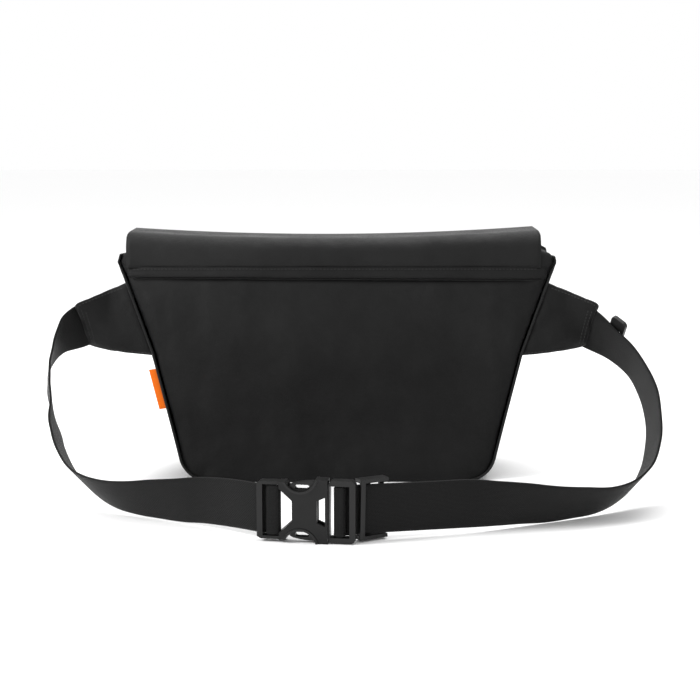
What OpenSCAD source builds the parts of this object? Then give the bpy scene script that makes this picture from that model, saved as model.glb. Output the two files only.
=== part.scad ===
// Waist-worn bag with a wrap-over flap, two hip wings and a webbing belt.
// Millimetres. +X runs along the bag, -Y points at the wearer, +Z is up.
// The origin is the middle of the bag's base, on the surface it stands on.

/* [Bag body] */
// Width of the bag across its two top corners
ear_w = 376; // [366:2:386]
// Width of the bag level with the lower roots of the wings
waist_w = 320; // [312:2:324]
// Width of the bag just above its base corners
low_w = 288; // [280:2:292]
// Height of the bag's mouth above the base
mouth_h = 204; // [200:1:206]
// Depth of the bag along its base
base_depth = 92; // [88:1:96]
// Depth of the bag at its mouth
mouth_depth = 60; // [56:1:64]
// Radius of the two base corners
corner_r = 24; // [20:1:28]
// Thickness of the padded back panel
back_t = 9; // [8:0.5:10]
// Thickness of the coated outer cloth with its backing
cloth_t = 1.5; // [1.2:0.1:2]
// Thickness of the lining cloth
lining_t = 0.8; // [0.6:0.1:1]

/* [Flap] */
// Width of the flap over the top of the bag
flap_w = 356; // [340:2:360]
// Height of the flap's lower edge at the front
flap_hem_z = 60; // [50:1:80]
// Height of the line where the flap is sewn to the back panel
flap_root_z = 188; // [187:0.5:189]
// Height of the flap's top, at the middle of its thickness
flap_top_z = 216; // [214:0.5:218]
// Radius of the roll at each side of the flap's top
flap_roll_r = 14; // [12:1:16]
// Thickness of the flap's outer cloth and padding
flap_t = 2.8; // [2.4:0.1:3]

/* [Belt and wings] */
// Width of the belt webbing
web_w = 38; // [36:1:38]
// Thickness of the belt webbing
web_t = 1.8; // [1.4:0.1:2]
// Thickness of a hip wing
wing_t = 6; // [5:0.5:7]
// Length of the side tag down the seam
tag_len = 34; // [24:1:40]
// How far the side tag stands out of the seam
tag_reach = 6.5; // [4:0.5:9]

/* [Buckle] */
// Height of the buckle across its collar
buckle_h = 49; // [48:0.5:49]
// Height of the buckle's webbing frames
frame_h = 44.4; // [44:0.2:46]
// Thickness of the buckle's shell
buckle_t = 10.6; // [10.2:0.1:11.2]
// Turn of the closed buckle about the vertical, in degrees
buckle_yaw = 8; // [0:1:8]
// Width of the tri-glide along the belt
glide_len = 24; // [22:1:26]

/* [Hidden] */
$fn = 48;

// Clearance between neighbouring pieces, and overcut of a through cut
gap = 0.3;
over = 5;

// Planes of the bag's back and front at its base
back_y = -base_depth / 2;
front_y = base_depth / 2;
// Step back of the front panel per millimetre of height
lean = (base_depth - mouth_depth) / mouth_h;

// Heights of the widths that shape the bag
waist_z = 112;
low_z = 45;
ear_z = 196;

// Foam pad inside the back panel
foam_t = 4.4;
foam_edge = 6;

// Play between two layers that are sewn together
sewn_gap = 0.05;

// Fastening patches: nearest and farthest edge from the middle, and heights
patch_x = [60, 120];
patch_z = [76, 100];

// Lower edge and width of the welt on the back panel
welt_z = 176;
welt_w = 342;

// Belt route, from the wing to the buckle: x, y, z and the twist of the
// webbing about its own line, in degrees
LEFT_ROUTE = [
    [-221, -42, 135, -5], [-234, -52, 128, -22], [-241, -66, 116, -22],
    [-242, -81, 101, -8], [-239, -95, 86, 4], [-234, -108, 70, 15],
    [-229, -121, 55, 27], [-221, -134, 41, 38], [-210, -146, 30, 46],
    [-196, -158, 23, 46], [-179, -168, 19, 40], [-160, -176, 18, 32],
    [-141, -183, 19, 23], [-122, -190, 20, 14], [-104, -197, 22, 7],
    [-87, -207, 23.5, 2], [-70, -219, 24.5, 0], [-57, -227, 24.5, 0],
    [-51, -227.9, 24.5, 0]
];
RIGHT_ROUTE = [
    [217, -42, 133, 12], [234, -53, 122, 27], [249, -67, 109, 25],
    [258, -82, 93, 12], [262, -98, 77, -4], [261, -115, 59, -17],
    [256, -132, 43, -30], [246, -148, 29, -42], [230, -163, 20, -46],
    [211, -175, 16, -43], [189, -185, 16.5, -36], [167, -193, 17.5, -28],
    [145, -200, 20, -20], [123, -207, 22, -11], [101, -212, 23.5, 0],
    [74, -219, 24, 0], [47, -226, 24.5, 0], [20, -233, 25, 0],
    [8, -236, 24.9, 0]
];
// Point of the right route where the belt is cut into its two lengths
split_at = 4;
// Rings swept per step of a route, and the corner cut of the webbing's edge
ring_steps = 2;
edge_cut = 0.4;

// Radius of the buckle's thumb cut-outs, and the raised rim round them
cut_r = 12;
rim_w = 1.8;
rim_h = 0.9;
// Length of the collar at the buckle's mouth, and its wall
collar_len = 9.5;
collar_wall = 1.2;

// Middle of the closed buckle's split line
buckle_pos = [-5, -236.5, 24.5];
// Half height of the buckle's inner frame, which the webbing fits
slot_half = web_w / 2 + 0.8;
// Half gap between the two shells, where the prongs run
cavity_half = 3;
prong_half_t = 2.6;
// Half thickness of the rails beside the webbing
rail_half_t = 4;
// Webbing bars along the buckle: near and far edge of each
female_bar = [-44.4, -39.2];
male_bar = [6.5, 10.6];
bar_n = [-1.8, 1.2];
male_len = 20.8;
female_len = 54;
male_end_bar = 16.2;
prong_pivot = [-3, 17];

// Straight stretch of belt that the tri-glide slides on
glide_from = [20, -233, 25];
glide_to = [101, -212, 23.5];

// ---- Shared outlines ----

// Points of an arc, from angle a0 to a1
function arc(centre, r, a0, a1, steps = 8) = [
    for (i = [0 : steps])
        let (a = a0 + (a1 - a0) * i / steps)
            centre + r * [cos(a), sin(a)]
];

function mirrored(points) = [
    for (i = [len(points) - 1 : -1 : 0]) [-points[i][0], points[i][1]]
];

// Slope of the bag's side between the waist and the base corner
side_run = (waist_w - low_w) / 2;
side_rise = waist_z - low_z;
side_angle = atan2(side_run, side_rise);

// Centre of the base corner's arc, tangent to the side and the base
function corner_x() =
    low_w / 2 - (corner_r + (low_z - corner_r) * sin(side_angle)) / cos(side_angle);

// Right half of the bag seen from the front, drawn in by inset
function right_side(inset, top) = concat(
    arc([corner_x(), corner_r], corner_r - inset, -90, -side_angle),
    [
        [waist_w / 2 - inset * 1.03, waist_z],
        [181 - inset * 1.06, 173],
        [ear_w / 2 - inset * 1.06, ear_z],
        [ear_w / 2 - 2 - inset, top]
    ]
);

module bag_outline(inset, top) {
    polygon(concat(right_side(inset, top), mirrored(right_side(inset, top))));
}

// Solid with that outline, between two planes across the depth
module bag_slab(inset, y0, y1, top = mouth_h) {
    translate([0, y1, 0])
        rotate([90, 0, 0])
            linear_extrude(y1 - y0) bag_outline(inset, top);
}

// Plane of the front panel's outer face, moved out by off, at height z
function front_at(z, off) = front_y + off - lean * z;

// Solid across the whole width, between two planes parallel to the front
module front_layer(off0, off1, z0, z1, x0 = -ear_w, x1 = ear_w) {
    translate([x0, 0, 0])
        rotate([90, 0, 90])
            linear_extrude(x1 - x0)
                polygon([
                    [front_at(z0, off0), z0], [front_at(z0, off1), z0],
                    [front_at(z1, off1), z1], [front_at(z1, off0), z1]
                ]);
}

// Everything in front of the back plane y0 and behind the front plane
module depth_wedge(y0, off) {
    translate([-ear_w, 0, 0])
        rotate([90, 0, 90])
            linear_extrude(2 * ear_w)
                polygon([
                    [y0, -over], [front_at(-over, off), -over],
                    [front_at(mouth_h + over, off), mouth_h + over],
                    [y0, mouth_h + over]
                ]);
}

// Inside of the bag, drawn in by inset from the gusset's outer face
module bag_inside(inset, y0, off) {
    intersection() {
        bag_slab(inset, y0, front_y, mouth_h + over);
        depth_wedge(y0, off);
    }
}

// ---- Bag body ----

module back_panel() {
    color("#262626")
        difference() {
            bag_slab(0, back_y, back_y + back_t);
            bag_slab(foam_edge - gap, back_y + cloth_t, back_y + back_t - cloth_t,
                mouth_h - foam_edge + gap);
        }
}

module back_foam() {
    foam_y = back_y + back_t - cloth_t - gap;
    color("#4a4a4a")
        bag_slab(foam_edge, foam_y - foam_t, foam_y, mouth_h - foam_edge);
}

// Flat pocket cloth between the outer cloth and the foam
module pocket_lining() {
    pocket_y = back_y + cloth_t + 0.1;
    color("#3a3a3a")
        intersection() {
            bag_slab(foam_edge, pocket_y, pocket_y + lining_t);
            translate([-welt_w / 2, back_y, 50])
                cube([welt_w, back_t, welt_z - 50]);
        }
}

// Ridge along the seam round the back panel, clear of the floor and up to the
// pocket welt
module back_piping() {
    floor_gap = 1;
    ridge_t = 1.6;
    ridge_w = 3.8;
    color("#202020")
        intersection() {
            difference() {
                bag_slab(0, back_y - ridge_t, back_y - 0.05);
                bag_slab(ridge_w, back_y - over, back_y + over, mouth_h + over);
            }
            translate([-ear_w, -base_depth, floor_gap])
                cube([2 * ear_w, base_depth, welt_z - 1 - floor_gap]);
        }
}

// Topstitched band over the slot of the flat back pocket
module pocket_welt() {
    band_t = 2.3;
    root_gap = 2;
    color("#2c2c2c")
        translate([-welt_w / 2, back_y - gap - band_t, welt_z])
            cube([welt_w, band_t, flap_root_z - root_gap - welt_z]);
}

module gusset() {
    color("#242424")
        difference() {
            intersection() {
                bag_slab(0, back_y + back_t, front_y);
                depth_wedge(back_y + back_t, -cloth_t - gap);
            }
            translate([0, -over, 0])
                bag_slab(cloth_t, back_y, front_y + 2 * over, mouth_h + over);
        }
}

module front_panel() {
    color("#262626")
        intersection() {
            bag_slab(0, back_y, front_y + over);
            front_layer(-cloth_t, 0, 0, mouth_h);
        }
}

module lining() {
    first = cloth_t + gap;
    inner_y = back_y + back_t + gap;
    color("#55585c")
        difference() {
            intersection() {
                bag_inside(first, inner_y, -first);
                bag_slab(0, back_y, front_y, mouth_h - 1);
            }
            bag_inside(first + lining_t, inner_y + lining_t, -first - lining_t);
        }
}

// Tape that finishes the lining's edge round the mouth
module mouth_binding() {
    first = cloth_t + gap + lining_t + 0.1;
    inner_y = back_y + back_t + gap + lining_t + 0.1;
    tape_t = 1;
    tape_h = 9;
    color("#1c1c1c")
        intersection() {
            difference() {
                bag_inside(first, inner_y, -first);
                bag_inside(first + tape_t, inner_y + tape_t, -first - tape_t);
            }
            translate([-ear_w, -base_depth, mouth_h - 1 - tape_h])
                cube([2 * ear_w, 2 * base_depth, tape_h]);
        }
}

// Layer parallel to the front with the outline of a fastening patch
module patch(side, inset, off0, off1) {
    front_layer(off0, off1, patch_z[0] + inset, patch_z[1] - inset,
        side < 0 ? inset - patch_x[1] : patch_x[0] + inset,
        side < 0 ? -patch_x[0] - inset : patch_x[1] - inset);
}

// Loop patch on the front panel, where the flap's hook patch lands
module front_loop(side) {
    loop_t = 1.2;
    color("#303030") patch(side, 0, sewn_gap, sewn_gap + loop_t);
}

// Half width of the bag's side at height z, between base corner and waist
function side_x(z) = waist_w / 2 - side_run * (waist_z - z) / side_rise;

// Folded tape sewn into the left seam
module side_tag() {
    top_z = 98;
    low_tag_z = top_z - tag_len;
    tape_t = 1.6;
    seam_in = 4;
    slant = 1;
    color("#f26a1b")
        translate([0, back_y + seam_in, 0])
            rotate([90, 0, 0])
                linear_extrude(tape_t)
                    polygon([
                        [-side_x(top_z) - gap, top_z],
                        [-side_x(top_z) - tag_reach, top_z - slant],
                        [-side_x(low_tag_z) - tag_reach, low_tag_z - slant],
                        [-side_x(low_tag_z) - gap, low_tag_z]
                    ]);
}

// ---- Hip wings ----

// Wing seen from the wearer's side, drawn in by inset; side is -1 or 1
module wing_outline(side, inset) {
    points = [
        [181.8 + inset, 172 - 1.2 * inset],
        [160 + inset, 110 + inset],
        [172, 109.5 + inset],
        [214 - inset, 115 + inset],
        [217.5 - inset, 118 + inset],
        [223.5 - inset, 154 - inset],
        [221.5 - inset, 156.5 - inset]
    ];
    polygon([for (p = points) [side * p[0], p[1]]]);
}

wing_y = -42;
wing_wall = 1;
// Width of the wing's seam edge, and the smaller foam inside it
wing_seam = 3;
foam_inset = 3.5;

module wing(side) {
    color("#262626")
        difference() {
            translate([0, wing_y + wing_t / 2, 0])
                rotate([90, 0, 0])
                    linear_extrude(wing_t) wing_outline(side, 0);
            translate([0, wing_y + wing_t / 2 - wing_wall, 0])
                rotate([90, 0, 0])
                    linear_extrude(wing_t - 2 * wing_wall) wing_outline(side, wing_seam);
        }
}

module wing_foam(side) {
    foam = wing_t - 2 * wing_wall - 2 * gap;
    color("#4a4a4a")
        translate([0, wing_y + foam / 2, 0])
            rotate([90, 0, 0])
                linear_extrude(foam) wing_outline(side, foam_inset);
}

// ---- Flap ----

// Centre line of the flap from the back seam over the top to the front hem,
// moved outward by off
flap_back_y = back_y - 2.5;
flap_front_off = 4.5;
function flap_front_centre() =
    let (slope = atan(lean))
        front_at(flap_top_z - flap_roll_r, flap_front_off) - flap_roll_r / cos(slope);

function flap_line(off) = concat(
    [[flap_back_y - off, flap_root_z]],
    arc([flap_back_y + flap_roll_r, flap_top_z - flap_roll_r],
        flap_roll_r + off, 180, 90),
    arc([flap_front_centre(), flap_top_z - flap_roll_r],
        flap_roll_r + off, 90, atan(lean)),
    [[front_at(flap_hem_z, flap_front_off) + off, flap_hem_z]]
);

function reversed(points) = [for (i = [len(points) - 1 : -1 : 0]) points[i]];

// Flap layer between two offsets from the centre line
module flap_layer(off0, off1) {
    translate([-flap_w / 2, 0, 0])
        rotate([90, 0, 90])
            linear_extrude(flap_w)
                polygon(concat(flap_line(off1), reversed(flap_line(off0))));
}

// Flap seen from the front: rounded at the top and at the front hem
hem_x = 124;
hem_r = 26;
flap_top_r = 9;
function flap_right(inset) = concat(
    arc([hem_x, flap_hem_z + hem_r], hem_r - inset, -90, -8),
    [[flap_w / 2 - inset, flap_root_z - 4]],
    arc([flap_w / 2 - flap_top_r, flap_top_z + 2 - flap_top_r],
        flap_top_r - inset, 0, 90, 4)
);

module flap_outline(inset) {
    polygon(concat(flap_right(inset), mirrored(flap_right(inset))));
}

module flap_cut(off0, off1, inset) {
    intersection() {
        flap_layer(off0, off1);
        translate([0, base_depth, 0])
            rotate([90, 0, 0])
                linear_extrude(2 * base_depth) flap_outline(inset);
    }
}

module flap_cover() {
    color("#2e2e2e") flap_cut(-flap_t / 2, flap_t / 2, 0);
}

module flap_lining() {
    face = -flap_t / 2 - sewn_gap;
    color("#55585c") flap_cut(face - lining_t, face, 2);
}

// Hook patch under the flap, facing the front loop patch
module flap_hook(side) {
    hook_t = 0.7;
    face = flap_front_off - flap_t / 2 - lining_t - 3 * sewn_gap;
    color("#1a1a1a") patch(side, 2, face - hook_t, face);
}

// ---- Belt ----

function unit(v) = v / norm(v);
function place(p) = [p[0], p[1], p[2]];

// Point on a smooth curve through the route's points
function blend4(a, b, c, d, f) =
    0.5 * (2 * b + (c - a) * f + (2 * a - 5 * b + 4 * c - d) * f * f
        + (3 * b - a - 3 * c + d) * f * f * f);

function route_points(route) = [
    for (i = [0 : len(route) - 2])
        for (k = [0 : ring_steps - 1])
            let (
                last = len(route) - 1,
                a = route[max(i - 1, 0)],
                d = route[min(i + 2, last)]
            )
                blend4(a, route[i], route[i + 1], d, k / ring_steps),
    route[len(route) - 1]
];

// Direction of travel at point i of a list of points
function heading(points, i) =
    unit(place(points[min(i + 1, len(points) - 1)]) - place(points[max(i - 1, 0)]));

// Direction from the webbing's lower edge to its upper edge
function width_dir(t, twist) =
    let (up = unit([0, 0, 1] - t[2] * t))
        cos(twist) * up + sin(twist) * cross(t, up);

// Eight corners of the webbing's section, round the middle
web_section = [
    [1, 1 - edge_cut], [1 - edge_cut / 8, 1], [edge_cut / 8 - 1, 1], [-1, 1 - edge_cut],
    [-1, edge_cut - 1], [edge_cut / 8 - 1, -1], [1 - edge_cut / 8, -1], [1, edge_cut - 1]
];

// Ring of the webbing at point i, moved along the route by shift
function web_ring(points, i, shift) =
    let (
        t = heading(points, i),
        w = width_dir(t, points[i][3]),
        n = cross(t, w)
    )
        [for (c = web_section)
            place(points[i]) + shift * t
                + c[0] * web_w / 2 * w + c[1] * web_t / 2 * n];

// One closed length of webbing swept from point first to point last of a
// route, with its ends drawn in by trim_first and trim_last
module webbing(route, first = 0, last = undef, trim_first = 0, trim_last = 0) {
    points = route_points(route);
    end = is_undef(last) ? len(points) - 1 : last;
    sides = len(web_section);
    count = end - first + 1;
    corners = [
        for (i = [first : end])
            each web_ring(points, i,
                i == first ? trim_first : (i == end ? -trim_last : 0))
    ];
    walls = [
        for (i = [0 : count - 2])
            for (k = [0 : sides - 1])
                let (
                    a = i * sides + k,
                    b = i * sides + (k + 1) % sides,
                    c = b + sides,
                    d = a + sides
                )
                    each [[a, c, b], [a, d, c]]
    ];
    first_cap = [for (k = [0 : sides - 1]) k];
    last_cap = [for (k = [sides - 1 : -1 : 0]) (count - 1) * sides + k];
    color("#1f1f1f")
        polyhedron(corners, concat(walls, [first_cap, last_cap]), convexity = 10);
}

// Frame of axes on the webbing: along it, across it, and off its inner face
module on_webbing(at, t, twist) {
    w = width_dir(t, twist);
    n = cross(t, w);
    multmatrix([
        [t[0], w[0], n[0], at[0]],
        [t[1], w[1], n[1], at[1]],
        [t[2], w[2], n[2], at[2]],
        [0, 0, 0, 1]
    ])
        children();
}

// Plastic keeper behind the belt just outside the right wing, with two slots
// inside the webbing's width and a solid rail above its upper edge
module strap_keeper() {
    keeper_t = 3.2;
    keeper_len = 15;
    rail_above = 7.5;
    slot_len = 31;
    slot_w = 3;
    slot_x = 2.75;
    behind = -6;
    at = place(RIGHT_ROUTE[1]);
    t = heading(RIGHT_ROUTE, 1);
    color("#1a1a1a")
        on_webbing(at, t, RIGHT_ROUTE[1][3])
            difference() {
                translate([0, 0, behind])
                    linear_extrude(keeper_t)
                        round_rect(-keeper_len / 2, keeper_len / 2,
                            -web_w / 2, web_w / 2 + rail_above, 3.5);
                for (x = [-slot_x, slot_x])
                    translate([x - slot_w / 2, -slot_len / 2, behind - over])
                        cube([slot_w, slot_len, keeper_t + 2 * over]);
            }
}

// ---- Buckle ----

// Buckle's own axes: along it from the split line, through it, and up
module at_buckle() {
    translate(buckle_pos)
        rotate([0, 0, -buckle_yaw])
            children();
}

// Flat piece of the buckle, from depth n0 to n1
module plate(n0, n1) {
    translate([0, n1, 0])
        rotate([90, 0, 0])
            linear_extrude(n1 - n0) children();
}

// Rectangle with round corners, kept exact
module round_rect(x0, x1, y0, y1, r) {
    translate([x0 + r, y0]) square([x1 - x0 - 2 * r, y1 - y0]);
    translate([x0, y0 + r]) square([x1 - x0, y1 - y0 - 2 * r]);
    for (x = [x0 + r, x1 - r])
        for (y = [y0 + r, y1 - r])
            translate([x, y]) circle(r);
}

module upright_rect(x0, x1, half_h) {
    translate([x0, -half_h]) square([x1 - x0, 2 * half_h]);
}

// Webbing frame of one buckle half: a rounded outline with the slots cut out
module webbing_frame(x0, x1, half_h) {
    difference() {
        round_rect(x0, x1, -half_h, half_h, 4);
        children();
    }
}

// Outline of the female shell before the cut-outs and windows
module shell_blank() {
    polygon([
        [-37, frame_h / 2], [-collar_len, frame_h / 2], [-collar_len, buckle_h / 2],
        [0, buckle_h / 2], [0, -buckle_h / 2], [-collar_len, -buckle_h / 2],
        [-collar_len, -frame_h / 2], [-37, -frame_h / 2]
    ]);
}

// Discs round the middles of the two thumb cut-outs
module thumb_discs(r) {
    for (side = [-1, 1])
        translate([-21, side * 27]) circle(r);
}

// Waisted shell of the female half, with its two round cut-outs and windows
module female_shell_outline() {
    difference() {
        shell_blank();
        thumb_discs(cut_r);
        polygon([
            [-37.5, 17.6], [-27, 8], [-27, -8], [-37.5, -17.6]
        ]);
        polygon([
            [-8, 8.5], [-2, 11.2], [-2, -11.2], [-8, -8.5]
        ]);
    }
}

module buckle_female() {
    half_t = buckle_t / 2;
    color("#1e1e1e")
        at_buckle() {
            // Two shells, one each side of the prongs
            plate(-half_t, -cavity_half) female_shell_outline();
            plate(cavity_half, half_t) female_shell_outline();
            // Raised rims round the thumb cut-outs, on both faces
            for (face = [-half_t - rim_h, half_t])
                plate(face, face + rim_h)
                    intersection() {
                        difference() {
                            thumb_discs(cut_r + rim_w);
                            thumb_discs(cut_r);
                        }
                        shell_blank();
                    }
            // Arms that join the shells to the webbing frame
            plate(-half_t, half_t)
                intersection() {
                    female_shell_outline();
                    upright_rect(-37, -31.2, frame_h / 2);
                }
            // Rib in the waist, and the collar's top and bottom walls
            plate(-half_t, half_t) upright_rect(-26.9, -13, 7);
            for (side = [-1, 1])
                translate([-collar_len, -half_t,
                    side > 0 ? buckle_h / 2 - collar_wall : -buckle_h / 2])
                    cube([collar_len, buckle_t, collar_wall]);
            // Webbing frame: rails, then the outer bar and the webbing bar
            plate(-rail_half_t, rail_half_t)
                webbing_frame(-female_len, -34, frame_h / 2)
                    upright_rect(-female_len - over, -33, slot_half);
            plate(-rail_half_t, 0)
                upright_rect(-female_len, -49.7, slot_half + 1);
            plate(-rail_half_t, rail_half_t)
                for (side = [-1, 1])
                    translate([-46, side > 0 ? slot_half : -frame_h / 2])
                        square([10, frame_h / 2 - slot_half]);
            plate(bar_n[0], bar_n[1])
                upright_rect(female_bar[0], female_bar[1], slot_half + 1);
        }
}

module buckle_male() {
    color("#1e1e1e")
        at_buckle() {
            plate(-rail_half_t, rail_half_t)
                difference() {
                    webbing_frame(gap, male_len, buckle_h / 2 - 0.5)
                        upright_rect(1.5, male_end_bar, slot_half);
                    upright_rect(15, male_len + over, slot_half - 0.01);
                }
            plate(-rail_half_t, 0) upright_rect(male_end_bar, male_len, slot_half + 1);
            plate(bar_n[0], bar_n[1]) upright_rect(male_bar[0], male_bar[1], slot_half + 1);
        }
}

// Spring prong with its thumb pad; side is 1 above and -1 below
module prong(side) {
    outer = [
        [-28.9, 19.6], [-26.5, 20.8], [-22, 21.8], [-17, 22.5], [-11, 22.9]
    ];
    root = concat([[-9.8, 22.2], [-9.6, 19.8]], arc(prong_pivot, 2.6, 90, -90));
    inner = [
        [-12, 12.8], [-20, 12.6], [-25, 13.6], [-28.4, 15.8], [-29.8, 18.2]
    ];
    color("#232323")
        at_buckle()
            mirror([0, 0, side < 0 ? 1 : 0])
                plate(-prong_half_t, prong_half_t)
                    difference() {
                        polygon(concat(outer, root, inner));
                        round_rect(-25, -14, 16.4, 20, 1.75);
                    }
}

// Webbing folded round a bar of the buckle
module webbing_fold(bar) {
    slack = 0.15;
    color("#1f1f1f")
        at_buckle()
            translate([0, 0, -web_w / 2])
                linear_extrude(web_w)
                    difference() {
                        round_rect(bar[0] - slack - web_t, bar[1] + slack + web_t,
                            bar_n[0] - slack - web_t, bar_n[1] + slack + web_t, 2.4);
                        round_rect(bar[0] - slack, bar[1] + slack,
                            bar_n[0] - slack, bar_n[1] + slack, 0.5);
                    }
}

// Three-bar slider, turned about its first bar so that the webbing runs behind
// that bar and over the other two
module tri_glide() {
    t = unit(glide_to - glide_from);
    half_t = 4.4;
    web_gap = 2.1;
    rail_in = web_w / 2 + 1.4;
    rail_out = 23.1;
    start = -2.6;
    bar = 4;
    slot = 8;
    turn = 16;
    pivot = [start + bar / 2, 0, (half_t + web_gap) / 2];
    color("#1e1e1e")
        on_webbing(glide_from, t, 0)
            translate(pivot) rotate([0, turn, 0]) translate(-pivot)
                difference() {
                    translate([start, -rail_out, -half_t])
                        cube([glide_len, 2 * rail_out, 2 * half_t]);
                    translate([start - over, -rail_in, -web_gap])
                        cube([glide_len + 2 * over, 2 * rail_in, 2 * web_gap]);
                    // Open in front of the webbing, past the first bar
                    translate([start + bar, -rail_in, 0])
                        cube([glide_len, 2 * rail_in, half_t + over]);
                    // Slots behind the webbing, between the bars
                    for (x = [start - over, start + bar + slot])
                        translate([x, -rail_in, -half_t - over])
                            cube([x < start ? over + slot : slot, 2 * rail_in,
                                half_t + over]);
                }
}

back_panel();
back_foam();
back_piping();
pocket_welt();
pocket_lining();
gusset();
front_panel();
lining();
mouth_binding();
front_loop(-1);  // front_loop_left
front_loop(1);  // front_loop_right
side_tag();
wing(-1);  // wing_left
wing(1);  // wing_right
wing_foam(-1);  // wing_foam_left
wing_foam(1);  // wing_foam_right
flap_cover();
flap_lining();
flap_hook(-1);  // flap_hook_left
flap_hook(1);  // flap_hook_right
webbing(LEFT_ROUTE);  // belt_left
webbing(RIGHT_ROUTE, last = split_at * ring_steps, trim_last = 0.5);  // belt_right_rear
webbing(RIGHT_ROUTE, first = split_at * ring_steps, trim_first = 0.5);  // belt_right_front
strap_keeper();
buckle_female();
webbing_fold(female_bar);  // webbing_fold_left
buckle_male();
webbing_fold(male_bar);  // webbing_fold_right
prong(1);  // prong_upper
prong(-1);  // prong_lower
tri_glide();
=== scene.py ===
"""Waist-worn bag with a wrap-over flap, hip wings and a webbing belt.

Metres, in the frame of the CAD model: +X along the bag, -Y towards the
wearer, +Z up, and the origin in the middle of the bag's base.
"""
import math

import bmesh
import bpy
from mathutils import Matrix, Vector, noise
from mathutils.bvhtree import BVHTree


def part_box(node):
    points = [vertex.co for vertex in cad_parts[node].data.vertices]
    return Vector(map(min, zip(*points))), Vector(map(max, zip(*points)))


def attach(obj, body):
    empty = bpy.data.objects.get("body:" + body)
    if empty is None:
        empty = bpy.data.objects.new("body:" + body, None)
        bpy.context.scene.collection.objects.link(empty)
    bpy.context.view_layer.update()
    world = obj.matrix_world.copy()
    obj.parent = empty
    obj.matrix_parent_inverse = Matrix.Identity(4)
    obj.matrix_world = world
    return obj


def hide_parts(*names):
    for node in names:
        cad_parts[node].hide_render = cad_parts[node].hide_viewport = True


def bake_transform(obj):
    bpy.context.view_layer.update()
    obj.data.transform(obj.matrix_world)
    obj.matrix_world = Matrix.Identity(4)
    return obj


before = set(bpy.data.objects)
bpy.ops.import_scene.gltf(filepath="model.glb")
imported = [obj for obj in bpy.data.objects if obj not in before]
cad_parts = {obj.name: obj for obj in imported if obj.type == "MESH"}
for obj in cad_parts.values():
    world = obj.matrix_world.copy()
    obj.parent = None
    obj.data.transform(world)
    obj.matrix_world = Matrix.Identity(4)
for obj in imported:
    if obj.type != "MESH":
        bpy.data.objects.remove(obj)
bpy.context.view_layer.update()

MM = 0.001
UP = Vector((0, 0, 1))
AWAY = Vector((0, 1, 0))  # from the wearer

# ---- Driving dimensions, from the frame ----

back_low, back_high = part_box("back_panel")
EAR_HALF = back_high.x
BACK_Y = back_low.y
PANEL_Y = back_high.y
MOUTH_Z = back_high.z
CLOTH_T = 1.5 * MM
front_low, front_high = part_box("front_panel")
BASE_FRONT_Y = front_high.y
MOUTH_FRONT_Y = front_low.y + CLOTH_T
LEAN = (BASE_FRONT_Y - MOUTH_FRONT_Y) / MOUTH_Z
welt_low, welt_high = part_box("pocket_welt")
flap_low, flap_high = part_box("flap_cover")
FLAP_HALF = flap_high.x
FLAP_HEM_Z = flap_low.z

# Shape of the bag's side: half widths and heights that the CAD uses
CORNER_R = 24 * MM
LOW_HALF, LOW_Z = 144 * MM, 45 * MM
WAIST_HALF, WAIST_Z = 160 * MM, 112 * MM
SIDE_TOP = [(181 * MM, 173 * MM), (EAR_HALF, 196 * MM), (EAR_HALF - 2 * MM, MOUTH_Z)]

# Belt webbing
WEB_W = 38 * MM
WEB_T = 1.8 * MM

# Belt routes in millimetres, as in the CAD: x, y, z and twist in degrees
LEFT_ROUTE = [
    (-221, -42, 135, -5), (-234, -52, 128, -22), (-241, -66, 116, -22),
    (-242, -81, 101, -8), (-239, -95, 86, 4), (-234, -108, 70, 15),
    (-229, -121, 55, 27), (-221, -134, 41, 38), (-210, -146, 30, 46),
    (-196, -158, 23, 46), (-179, -168, 19, 40), (-160, -176, 18, 32),
    (-141, -183, 19, 23), (-122, -190, 20, 14), (-104, -197, 22, 7),
    (-87, -207, 23.5, 2), (-70, -219, 24.5, 0), (-57, -227, 24.5, 0),
    (-51, -227.9, 24.5, 0),
]
RIGHT_ROUTE = [
    (217, -42, 133, 12), (234, -53, 122, 27), (249, -67, 109, 25),
    (258, -82, 93, 12), (262, -98, 77, -4), (261, -115, 59, -17),
    (256, -132, 43, -30), (246, -148, 29, -42), (230, -163, 20, -46),
    (211, -175, 16, -43), (189, -185, 16.5, -36), (167, -193, 17.5, -28),
    (145, -200, 20, -20), (123, -207, 22, -11), (101, -212, 23.5, 0),
    (74, -219, 24, 0), (47, -226, 24.5, 0), (20, -233, 25, 0),
    (8, -236, 24.9, 0),
]
ROUTE_STEPS = 8

# Closed buckle: middle of its split line, its turn, and the webbing bars
BUCKLE_POS = Vector((-5, -236.5, 24.5)) * MM
BUCKLE_YAW = math.radians(8)
FEMALE_BAR = (-44.4 * MM, -39.2 * MM)
MALE_BAR = (6.5 * MM, 10.6 * MM)
BAR_MIDDLE = -0.3 * MM


# ---- Camera, floor and light ----

def new_object(name, data):
    obj = bpy.data.objects.new(name, data)
    bpy.context.scene.collection.objects.link(obj)
    return obj


def make_camera():
    data = bpy.data.cameras.new("camera")
    data.sensor_width = 36
    data.lens = 77.14
    camera = new_object("camera", data)
    camera.location = (0.011, -1.322, 0.326)
    camera.rotation_euler = (math.radians(80.6), 0, 0)
    bpy.context.scene.camera = camera


def area_light(name, place, target, size, power):
    data = bpy.data.lights.new(name, "AREA")
    data.size = size
    data.energy = power
    light = new_object(name, data)
    light.location = place
    aim = Vector(target) - Vector(place)
    light.rotation_euler = aim.to_track_quat("-Z", "Y").to_euler()


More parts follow.
